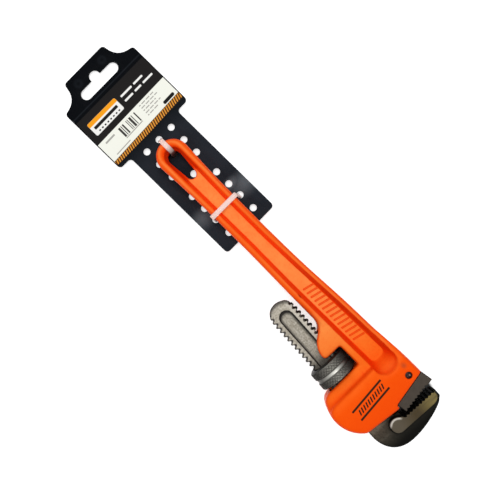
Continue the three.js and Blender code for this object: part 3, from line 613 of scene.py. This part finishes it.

# a small scuff on the lower flange, a dull spot beside the pin, and painted shade in the hole over
# the pin
scuff = (-50.6, -6.5, 2.9, 0.9)
dull_spot = (26.3, 35.5, 3.2, 2.8)
pin_hole = 2.3                   # radius, mm
tone = lay(tree, tone, soft_spot(tree, on_handle, *scuff), orange_shade_and_scuff, 0.9)
tone = lay(tree, tone, soft_spot(tree, from_nut, *dull_spot), orange_dull, 0.7)
pin_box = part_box("heel_jaw_pin")
pin_place = (pin_box[0] + pin_box[1]) / 2
over_pin = area(tree, in_millimetres(tree, pin_place), -pin_hole, pin_hole, -pin_hole, pin_hole,
                corner=pin_hole, blur=0.25)
tone = lay(tree, tone, over_pin, hole_shade)
feed(tree, shader.inputs["Roughness"], span(tree, mottle, 0.3, 0.7, 0.38, 0.5))
coat(tree, shader, tone, enamel_height, depth=0.00012)
put_on(handle, "wrench_frame", "handle", orange_enamel)

# ---------------------------------------------------------------- heel jaw
# A toothed block of tool steel, hardened and oiled black-brown. Its tongue sits in a pocket of
# the head, where a cross pin holds it. The side faces are ground flat.

heel_voxel = 0.00030
heel_brown = (0.060, 0.048, 0.037, 1)
heel_black_and_shade = (0.010, 0.009, 0.008, 1)

heel = copy_of("heel_jaw", "heel_jaw_block")
cast(heel, heel_voxel, rounds=2)

heel_steel, tree, shader = finish_material("hardened_steel", roughness=0.5, metallic=0.35)
shader.inputs["Specular IOR Level"].default_value = 0.15
heel_height, mottle = relief_on(tree, grain=1600.0, wave=300.0)
# dark patches of the hardening black; the walls and tooth faces are painted in that black, partly
# the steel's own and partly painted shade
tone = lay(tree, heel_brown, span(tree, mottle, 0.3, 0.7, 0.0, 0.18), heel_black_and_shade)
tone = lay(tree, tone, steepness(tree), heel_black_and_shade)
coat(tree, shader, tone, heel_height, depth=0.00004)
put_on(heel, "wrench_frame", "heel_jaw", heel_steel)

# ---------------------------------------------------------------- heel jaw's pin
# A plain steel pin pressed through the head and the tongue, sunk below both faces.

pin_shade_black = (0.004, 0.0015, 0.0015, 1)
pin_brown = (0.10, 0.035, 0.03, 1)
pin_glint = (0.42, 0.24, 0.20, 1)


def finish_cad_node(name, finish):
    """A CAD node that keeps its own mesh wears the finish."""
    kept = frame["nodes"][name]
    kept.data.materials.clear()
    kept.data.materials.append(finish)


pin_steel, tree, shader = finish_material("pin_steel", roughness=0.4, metallic=0.6)
pin_height, mottle = relief_on(tree, grain=1800.0, wave=700.0)
glint_spot = (0.9, 0.7, 0.9, 0.7)
glint = soft_spot(tree, in_millimetres(tree, pin_place), *glint_spot)
# the pin is painted near-black as painted shade of its deep hole, with a brown mottle and a painted
# highlight
tone = lay(tree, pin_shade_black, span(tree, mottle, 0.45, 0.7, 0.0, 0.5), pin_brown)
tone = lay(tree, tone, glint, pin_glint)
coat(tree, shader, tone, pin_height, depth=0.00010)
finish_cad_node("heel_jaw_pin", pin_steel)

# ---------------------------------------------------------------- hook jaw
# One forging: a threaded shank with two ground flats and a long recess, and a hook with a
# raised, toothed pad. The shank is bright steel; the hook keeps the dark scale of hardening.

jaw_voxel = 0.00036
shank_grey = (0.325, 0.292, 0.235, 1)
shank_worn = (0.400, 0.368, 0.312, 1)
shank_bright = (0.56, 0.53, 0.46, 1)
shank_wall_shade = (0.050, 0.043, 0.041, 1)
shank_shade_black = (0.012, 0.010, 0.009, 1)
hook_black_and_shade = (0.0025, 0.0024, 0.0016, 1)
hook_scale = (0.0105, 0.0098, 0.0072, 1)
neck_sheen_brown = (0.118, 0.097, 0.071, 1)
pad_bronze = (0.060, 0.043, 0.020, 1)
pad_yellow = (0.200, 0.155, 0.055, 1)
pad_dark = (0.050, 0.040, 0.028, 1)
bulb_brown = (0.100, 0.083, 0.060, 1)
bulb_highlight = (0.45, 0.42, 0.37, 1)

jaw = copy_of("hook_jaw", "hook_jaw_forging")
cast(jaw, jaw_voxel, rounds=2)
# the shank runs smoothly into the thicker root of the hook
soften(jaw, lambda p: 38 < p.x < 62 and p.y < 2.5 and 3.5 < abs(p.z) < 9, rounds=90)
soften(jaw, lambda p: 30 < p.x and p.y < 3.5, rounds=10, height_only=False)

jaw_steel, tree, shader = finish_material("forged_steel", roughness=0.5, metallic=0.35)
shader.inputs["Specular IOR Level"].default_value = 0.08
jaw_height, mottle = relief_on(tree, grain=1100.0, wave=180.0)
_, speckle = relief_on(tree, grain=2200.0, wave=900.0)
from_nut = in_millimetres(tree, nut_place)
jaw_along, jaw_across, height = split(tree, from_nut)
off_middle = size_of(tree, height)
walls = steepness(tree)

# shank: ground flats, with painted shade on the side walls and on the upper flanks of the thread
shank_tone = lay(tree, shank_grey, span(tree, mottle, 0.3, 0.75), shank_worn)
flank_shade = product(tree, span(tree, tilt_of(tree, (0, 1, 0)), 0.05, 0.45),
                   span(tree, jaw_across, 6.8, 7.8))
shank_tone = lay(tree, shank_tone, walls, shank_wall_shade)
shank_tone = lay(tree, shank_tone, flank_shade, shank_shade_black)
# the floor of the long recess is painted a little darker than the rails, as painted shade, and a
# band along the upper rail is lighter
recess_area = (-49.9, 60.0, -4.75, 4.75, 4.75, 0.2)
recess_floor = 4.4               # above the middle plane, mm
in_recess = product(tree, area(tree, from_nut, *recess_area),
                    math_of(tree, "LESS_THAN", off_middle, recess_floor))
shank_tone = lay(tree, shank_tone, in_recess, pad_dark, 0.20)
shank_tone = lay(tree, shank_tone, span(tree, speckle, 0.5, 0.75, 0.0, 0.42), pad_dark)
shank_tone = lay(tree, shank_tone, span(tree, speckle, 0.5, 0.25, 0.0, 0.5), shank_bright)
rail = product(tree, span(tree, jaw_across, 4.7, 5.3), span(tree, walls, 0.6, 0.2))
shank_tone = lay(tree, shank_tone, rail, shank_bright, 0.4)
# painted shade along the foot of the recess, round the edge of the tail and beside the nut
unshaded_floor = (-47.4, 60.0, -3.55, 3.2, 3.35, 0.9)
unshaded_tail = (-54.6, 60.0, -9.4, 8.3, 8.2, 0.9)
recess_foot_shade = product(tree, in_recess, all_but(tree, area(tree, from_nut, *unshaded_floor)))
tail_edge_shade = product(tree, span(tree, jaw_along, -45.0, -50.0),
                    all_but(tree, area(tree, from_nut, *unshaded_tail)), 0.8)
beside_nut_shade = span(tree, jaw_along, -17.0, -9.0, 0.0, 0.8)
shank_painted_shade = largest(tree, recess_foot_shade, tail_edge_shade, beside_nut_shade)
shank_tone = lay(tree, shank_tone, shank_painted_shade, shank_shade_black, 0.97)

# the raised pad is rubbed to bronze in fine streaks, and browner towards the bulb at its foot
streak_scale = (900.0, 70.0, 70.0)
stretch = node(tree, "ShaderNodeMapping", Vector=object_vector(tree), Scale=streak_scale)
streaks = node(tree, "ShaderNodeTexNoise", Vector=stretch.outputs["Vector"], Scale=1.0, Detail=2.0)
pad_tone = lay(tree, pad_bronze, span(tree, jaw_across, 23.5, 36.0), pad_yellow)
pad_tone = lay(tree, pad_tone, span(tree, streaks.outputs["Fac"], 0.45, 0.75, 0.0, 0.55), pad_dark)
pad_tone = lay(tree, pad_tone, span(tree, jaw_across, 20.0, 9.0, 0.0, 0.8), bulb_brown)
# hook: black scale with black speckles, painted shade on the outer rim and the walls, and a painted
# brown sheen on the neck; the pad stands above it
pad_low, pad_high = 8.7, 9.3     # above the middle plane, mm
to_neck = span(tree, jaw_along, 64.0, 46.0)
neck_sheen = product(tree, span(tree, jaw_across, 7.0, -2.0), to_neck, to_neck)
hook_tone = lay(tree, hook_scale, span(tree, jaw_along, 58.5, 63.0), hook_black_and_shade)
hook_tone = lay(tree, hook_tone, neck_sheen, neck_sheen_brown)
hook_tone = lay(tree, hook_tone, span(tree, speckle, 0.45, 0.75, 0.0, 0.45), hook_black_and_shade)
hook_tone = lay(tree, hook_tone, walls, hook_black_and_shade)
pad_share = product(tree, span(tree, off_middle, pad_low, pad_high),
                    span(tree, walls, 0.9, 0.3))
hook_tone = lay(tree, hook_tone, pad_share, pad_tone)
# a painted highlight: a bright crescent on the rim of the rounded bulb
bulb_along, bulb_across, bulb_rim = 53.9, 7.5, 5.05
from_bulb = radius_of(tree, math_of(tree, "SUBTRACT", jaw_along, bulb_along),
                      math_of(tree, "SUBTRACT", jaw_across, bulb_across))
crescent_highlight = product(tree, span(tree, distance(tree, from_bulb, bulb_rim), 0.9, 0.3),
                   span(tree, jaw_along, 51.9, 50.3), span(tree, off_middle, 7.0, 8.8))
hook_tone = lay(tree, hook_tone, crescent_highlight, bulb_highlight)

# the shank's look runs over into the hook's inside the head
tone = lay(tree, shank_tone, span(tree, jaw_along, 8.0, 34.0), hook_tone)
metal = product(tree, span(tree, walls, 0.3, 0.9, 1.0, 0.15), 0.35)
feed(tree, shader.inputs["Metallic"], metal)
feed(tree, shader.inputs["Roughness"], span(tree, walls, 0.3, 0.9, 0.5, 0.8))
coat(tree, shader, tone, jaw_height, depth=0.00007)
put_on(jaw, "hook_jaw", "hook_jaw", jaw_steel)

# ---------------------------------------------------------------- adjusting nut
# A turned steel nut with two knurled lands and a smooth groove between them, oiled dark grey.
# Its thread runs on the shank, and a thumb turns it in the window of the handle.

nut_land = (0.185, 0.175, 0.150, 1)
nut_rubbed = (0.36, 0.35, 0.31, 1)
nut_oil_and_shade = (0.014, 0.013, 0.012, 1)
nut_highlight = (0.58, 0.57, 0.52, 1)
nut_voxel = 0.00024
nut_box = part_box("adjusting_nut")
nut_radius = (nut_box[1].z - nut_box[0].z) / 2
land_depth = 0.0003              # the wheels reach what lies this near the full radius
knurl_teeth = 56                 # diamonds round the nut
knurl_lead = 1.45                # mm along the axis for each of them
knurl_width = 0.30               # share of the pitch that the roller cuts away
knurl_depth = 0.00040

nut = copy_of("adjusting_nut", "adjusting_nut_knurled")
cast(nut, nut_voxel, rounds=1)


def in_knurl(point):
    """True where a wheel of the knurling tool has cut into one of the nut's lands."""
    away = point - nut_place
    if math.hypot(away.y, away.z) < nut_radius - land_depth:
        return False
    turn = math.atan2(away.z, away.y) / (2 * math.pi) * knurl_teeth
    climb = away.x * 1000 / knurl_lead
    return any(abs((turn + way * climb) % 1 - 0.5) > 0.5 - knurl_width / 2 for way in (1, -1))


pick(nut)
bpy.ops.object.mode_set(mode="EDIT")
bpy.ops.mesh.select_mode(type="VERT")
bpy.ops.mesh.select_all(action="DESELECT")
bpy.ops.object.mode_set(mode="OBJECT")
for vertex in nut.data.vertices:
    vertex.select = in_knurl(vertex.co)
bpy.ops.object.mode_set(mode="EDIT")
bpy.ops.transform.shrink_fatten(value=-knurl_depth)
bpy.ops.object.mode_set(mode="OBJECT")
apply_modifier(nut, "SMOOTH", factor=0.4, iterations=1)

nut_steel, tree, shader = finish_material("nut_steel", roughness=0.42, metallic=0.6)
shader.inputs["Specular IOR Level"].default_value = 0.2
nut_height, mottle = relief_on(tree, grain=1500.0, wave=500.0)
wear_and_shade = use_group(tree, edges_and_hollows, Reach=0.05)
nut_along, nut_across, nut_above = split(tree, in_millimetres(tree, nut_place))
from_groove = size_of(tree, nut_along)
out_from_axis = radius_of(tree, nut_across, nut_above)
# a dark mottle of oil, painted shade in the knurl's hollows, and rubbed edges
tone = lay(tree, nut_land, span(tree, mottle, 0.35, 0.7, 0.0, 0.5), nut_oil_and_shade)
tone = lay(tree, tone, wear_and_shade.outputs["Hollow"], nut_oil_and_shade)
tone = lay(tree, tone, wear_and_shade.outputs["Edge"], nut_rubbed, 0.8)
# painted shade in the corners of the turned groove, and a painted highlight along it that fades
# towards both sides
bore_reach, outer_skin = 10.8, (11.0, 12.0)     # from the nut's axis, mm
land_end = 6.0
outside = span(tree, out_from_axis, *outer_skin)
groove_corner_shade = product(tree, span(tree, from_groove, 2.1, 1.6), outside)
tone = lay(tree, tone, groove_corner_shade, nut_oil_and_shade, 0.6)
groove_highlight = product(tree, span(tree, from_groove, 1.4, 0.6), outside,
                 span(tree, nut_across, 8.5, 3.5, 0.5, 1.0))
tone = lay(tree, tone, groove_highlight, nut_highlight)
# painted shade darkens the bore, the ends and both sides, most of all the side that lies in the
# window
tone = lay(tree, tone, math_of(tree, "LESS_THAN", out_from_axis, bore_reach), nut_oil_and_shade)
tone = lay(tree, tone, span(tree, nut_across, 1.3, 9.8, 0.0, 0.92), nut_oil_and_shade)
tone = lay(tree, tone, span(tree, nut_across, -1.2, -10.0, 0.0, 0.88), nut_oil_and_shade)
end_shade = product(tree, math_of(tree, "GREATER_THAN", from_groove, land_end),
               span(tree, size_of(tree, tilt_of(tree, (1, 0, 0))), 0.35, 0.75))
tone = lay(tree, tone, end_shade, nut_oil_and_shade)
coat(tree, shader, tone, nut_height, depth=0.00003)
put_on(nut, "adjusting_nut", "adjusting_nut", nut_steel)

# ---------------------------------------------------------------- springs and their rivet
# Inside the head: a leaf of spring steel riveted over the shank and a coil spring on it, which
# keep the hook jaw pressed to the pipe. Blued steel; they are not seen from outside.

blued_dark = (0.10, 0.11, 0.14, 1)
blued_grey = (0.22, 0.22, 0.24, 1)

spring_blue, tree, shader = finish_material("blued_spring_steel", roughness=0.35, metallic=0.9)
spring_height, mottle = relief_on(tree, grain=2000.0, wave=600.0)
coat(tree, shader, lay(tree, blued_dark, mottle, blued_grey), spring_height, depth=0.00003)
for name in ("flat_spring", "coil_spring", "spring_rivet"):
    finish_cad_node(name, spring_blue)

# ---------------------------------------------------------------- hang card
# A card punched from black plastic sheet, with a hanging slot, rows of round holes and a crease
# under the tab. It lies flat behind the handle, and two ties hold it there.

card_black = (0.0014, 0.0021, 0.0034, 1)
card_tail_sheen = (0.0175, 0.0215, 0.0290, 1)
card_sheen = (0.105, 0.120, 0.135, 1)
card_mark = (0.013, 0.016, 0.021, 1)
card_crease = (0.03, 0.036, 0.045, 1)
card_origin = on_handle_axis(-171.5, 1.4)
card_turn = handle_turn + math.radians(0.45)
card_edge = 0.00025
crease_place = -65.2             # from the card's own origin, mm
mark_along, mark_aside = -80.3, 11.0
mark_outer, mark_inner = 4.2, 3.4
# painted sheen on the tail, patches of painted reflection: middle and half size
sheen_patches = ((43.5, 20.0, 11.0, 17.0), (38.0, 13.0, 6.0, 9.0), (41.0, -17.0, 9.0, 14.0))


def ease_edges(piece, width, segments):
    """Eases every sharp edge by a width."""
    apply_modifier(piece, "BEVEL", width=width, segments=segments, limit_method="ANGLE",
                   angle_limit=math.radians(50))


def clean_plastic(piece, width, segments):
    """Large flat faces with eased edges, as punched or moulded plastic has."""
    apply_modifier(piece, "DECIMATE", decimate_type="DISSOLVE", angle_limit=math.radians(3))
    ease_edges(piece, width, segments)
    pick(piece)
    bpy.ops.object.shade_smooth_by_angle(angle=math.radians(40))


card = copy_of("hang_card", "hang_card_sheet")
clean_plastic(card, card_edge, segments=2)

card_plastic, tree, shader = finish_material("card_plastic", roughness=0.38)
shader.inputs["Specular IOR Level"].default_value = 0.03
card_height, mottle = relief_on(tree, grain=1500.0, wave=45.0)
on_card = in_millimetres(tree, card_origin, card_turn)
card_along, _, _ = split(tree, on_card)
# painted sheen: the tail is painted lighter than the tab
tone = lay(tree, card_black, span(tree, card_along, -30.0, -12.0), card_tail_sheen)
tone = lay(tree, tone, span(tree, mottle, 0.4, 0.75, 0.0, 0.4), card_black)
sheen = largest(tree, *(soft_spot(tree, on_card, *patch) for patch in sheen_patches))
sheen = product(tree, sheen, span(tree, mottle, 0.25, 0.6, 0.6, 1.0))
tone = lay(tree, tone, sheen, card_sheen)
# two moulding marks on the tab, and the crease under it
for across_tab in (mark_aside, -mark_aside):
    ring, inside = (soft_spot(tree, on_card, mark_along, across_tab, radius, radius)
                    for radius in (mark_outer, mark_inner))
    tone = lay(tree, tone, product(tree, ring, all_but(tree, inside)), card_mark)
crease = span(tree, distance(tree, card_along, crease_place), 0.7, 0.0)
tone = lay(tree, tone, crease, card_crease, 0.35)
coat(tree, shader, tone, card_height, depth=0.0008)
put_on(card, "wrench_frame", "hang_card", card_plastic)

# ---------------------------------------------------------------- card label
# A paper label stuck across the card's wide panel: a charcoal field, a cream field with plain
# lines and a bar pattern, and a band of slanted stripes. It carries no lettering.

ink_charcoal = (0.010, 0.0085, 0.0085, 1)
ink_black = (0.008, 0.008, 0.008, 1)
ink_bars = (0.045, 0.043, 0.040, 1)
ink_grey = (0.42, 0.41, 0.38, 1)
ink_orange = (0.97, 0.37, 0.008, 1)
stripe_orange = (0.80, 0.34, 0.040, 1)
stripe_brown = (0.095, 0.024, 0.004, 1)
paper_cream = (0.925, 0.94, 0.855, 1)
paper_white = (0.92, 0.92, 0.89, 1)
label_edge = 0.00006
print_fan = 0.00136              # the bent panel spreads the print by this much per mm
print_fan_middle = -55.0
stripe_pitch, stripe_share, stripe_slant = 1.84, 0.46, 0.32
past_sides = 80.0                # a print this far to either side runs off the label

label = copy_of("card_label", "card_label_print")
ease_edges(label, label_edge, segments=1)

label_paper, tree, shader = finish_material("label_paper", roughness=0.45)
shader.inputs["Specular IOR Level"].default_value = 0.05
label_along, label_across, _ = split(tree, in_millimetres(tree, card_origin, card_turn))
spread = product(tree, math_of(tree, "SUBTRACT", label_along, print_fan_middle), print_fan,
                 label_across)
printed_along = math_of(tree, "ADD", label_along, spread)
printed = node(tree, "ShaderNodeCombineXYZ", X=printed_along, Y=label_across)


def label_area(along_0, along_1, across_0=-past_sides, across_1=past_sides, corner=0.1):
    """Mask of an area of the label, in mm along and across the card."""
    return area(tree, printed.outputs["Vector"], along_0, along_1, across_0, across_1, corner)


# the cream field on the charcoal one, and the striped band along the lower edge
tone = lay(tree, ink_charcoal, label_area(-43.0, -27.5), paper_cream)
slanted = math_of(tree, "ADD", label_across, product(tree, printed_along, stripe_slant))
band = label_area(-28.1, -24.2)
tone = lay(tree, tone, label_area(-28.4, -20.0), ink_black)
tone = lay(tree, tone, band, stripe_brown)
band_stripes = product(tree, band, stripes(tree, slanted, stripe_pitch, stripe_share))
tone = lay(tree, tone, band_stripes, stripe_orange)
# charcoal field: a block with an orange edge and two plain rows, and plain bars beside it
block = label_area(-57.0, -47.3, -26.8, -1.2, 1.0)
block_dashes = product(tree, label_area(-49.3, -48.3, -24.6, -3.4),
                       stripes(tree, label_across, 2.6, 0.5))
tone = lay(tree, tone, block, paper_white)
tone = lay(tree, tone, product(tree, block, label_area(-60.0, -54.1)), ink_orange)
tone = lay(tree, tone, label_area(-52.9, -50.8, -24.6, -3.4, 0.3), ink_charcoal)
tone = lay(tree, tone, block_dashes, ink_charcoal)
for row, bars in ((-54.9, ((2.4, 12.4), (14.2, 22.4))),
                  (-50.9, ((2.4, 9.8), (11.6, 17.4), (19.2, 28.0)))):
    for start, end in bars:
        tone = lay(tree, tone, label_area(row, row + 1.4, start, end, 0.5), paper_white)
# cream field: bars of uneven width, faint rows and a dark rounded bar
for start, width in ((-14.2, 1.5), (-12.0, 0.6), (-10.6, 1.1), (-7.2, 0.5), (-6.0, 0.5),
                     (-4.6, 1.6), (-2.2, 0.6), (0.4, 0.9)):
    tone = lay(tree, tone, label_area(-41.0, -33.6, start, start + width), ink_bars)
tone = lay(tree, tone, label_area(-33.2, -32.5, -14.2, 1.3), ink_grey)
for row, end in ((-41.4, 19.6), (-39.3, 21.2), (-37.2, 18.0), (-35.1, 20.4), (-33.0, 16.0)):
    strokes = stripes(tree, math_of(tree, "ADD", label_across, row), 4.1, 0.8)
    faint_row = product(tree, label_area(row, row + 0.75, 6.4, end), strokes)
    tone = lay(tree, tone, faint_row, ink_grey)
tone = lay(tree, tone, label_area(-31.5, -29.1, 19.2, 28.8, 1.0), ink_black)
tone = lay(tree, tone, label_area(-40.8, -39.6, -26.4, -18.2, 0.2), ink_grey)
tone = lay(tree, tone, label_area(-30.6, -29.9, -26.4, -13.4), ink_grey)
paper_height, _ = relief_on(tree, grain=2200.0, wave=60.0)
coat(tree, shader, tone, paper_height, depth=0.0002)
put_on(label, "wrench_frame", "card_label", label_paper)

# ---------------------------------------------------------------- ties
# Two clear nylon ties, one through the hanging loop and one round the grip, closed under the
# card. The nylon is milky, so it shows some of the orange under it.

tie_milky = (1.0, 0.80, 0.76, 1)
tie_warm = (1.0, 0.72, 0.64, 1)
tie_shade = (0.10, 0.036, 0.024, 1)
tie_edge = 0.0003

tie_nylon, tree, shader = finish_material("tie_nylon", roughness=0.28)
shader.inputs["Transmission Weight"].default_value = 0.25
shader.inputs["IOR"].default_value = 1.3
tie_height, mottle = relief_on(tree, grain=1200.0, wave=250.0)
tone = lay(tree, tie_warm, mottle, tie_milky)
# where the loop's tie dips into the hanging hole it lies in the casting's shade
between_ties = -160.0
tie_along, _, _ = split(tree, in_millimetres(tree, handle_origin, handle_turn))
dip = product(tree, span(tree, tie_along, -178.4, -172.6),
              math_of(tree, "LESS_THAN", tie_along, between_ties))
tone = lay(tree, tone, dip, tie_shade)
coat(tree, shader, tone, tie_height, depth=0.0001)
for name in ("loop_tie", "handle_tie"):
    tie = copy_of(name, name + "_strap")
    clean_plastic(tie, tie_edge, segments=3)
    put_on(tie, "wrench_frame", name, tie_nylon)

# ---------------------------------------------------------------- floor
# A white sheet under everything. It is lifted to white where it is seen, but not in the nut's
# window, between the jaws and under the loop tie's hole, which keep their own deep shade. In the
# window, in a strip between the jaws and under the hole, it is also painted dark as painted shade.

floor_size = 6.0
floor_gap = 0.0001
floor_grey = (0.9, 0.9, 0.9, 1)
floor_shade_grey = (0.05, 0.05, 0.05, 1)
floor_lift = 0.55
# seen from the nut, in mm: from, to, across from, to, corner and blur
painted_shade_areas = ((-12.0, 13.0, 8.0, 25.0, 2.0, 1.0), (-178.0, -169.5, 11.5, 19.5, 4.0, 1.0),
              (50.5, 54.5, 6.0, 41.5, 2.0, 0.8))
jaw_shade = (44.0, 58.0, 4.0, 42.0, 4.0, 1.0)

bpy.ops.object.select_all(action="DESELECT")
bpy.ops.mesh.primitive_plane_add(
    size=floor_size, location=(middle.x, middle.y, cad_box[0].z - floor_gap))
floor = bpy.context.object
floor.name = "floor"
bpy.ops.object.transform_apply(location=True)
floor_white, tree, shader = finish_material("floor_white", roughness=0.7)
shader.inputs["Specular IOR Level"].default_value = 0.1
shader.inputs["Emission Color"].default_value = (1, 1, 1, 1)
under_wrench = in_millimetres(tree, nut_place)
painted_dark = largest(tree, *(area(tree, under_wrench, *place) for place in painted_shade_areas))
shade = largest(tree, painted_dark, area(tree, under_wrench, *jaw_shade))
feed(tree, shader.inputs["Base Color"], lay(tree, floor_grey, painted_dark, floor_shade_grey))
feed(tree, shader.inputs["Emission Strength"], product(
    tree, background_rays(tree), span(tree, shade, 0.0, 1.0, floor_lift, 0.0)))
floor.data.materials.append(floor_white)
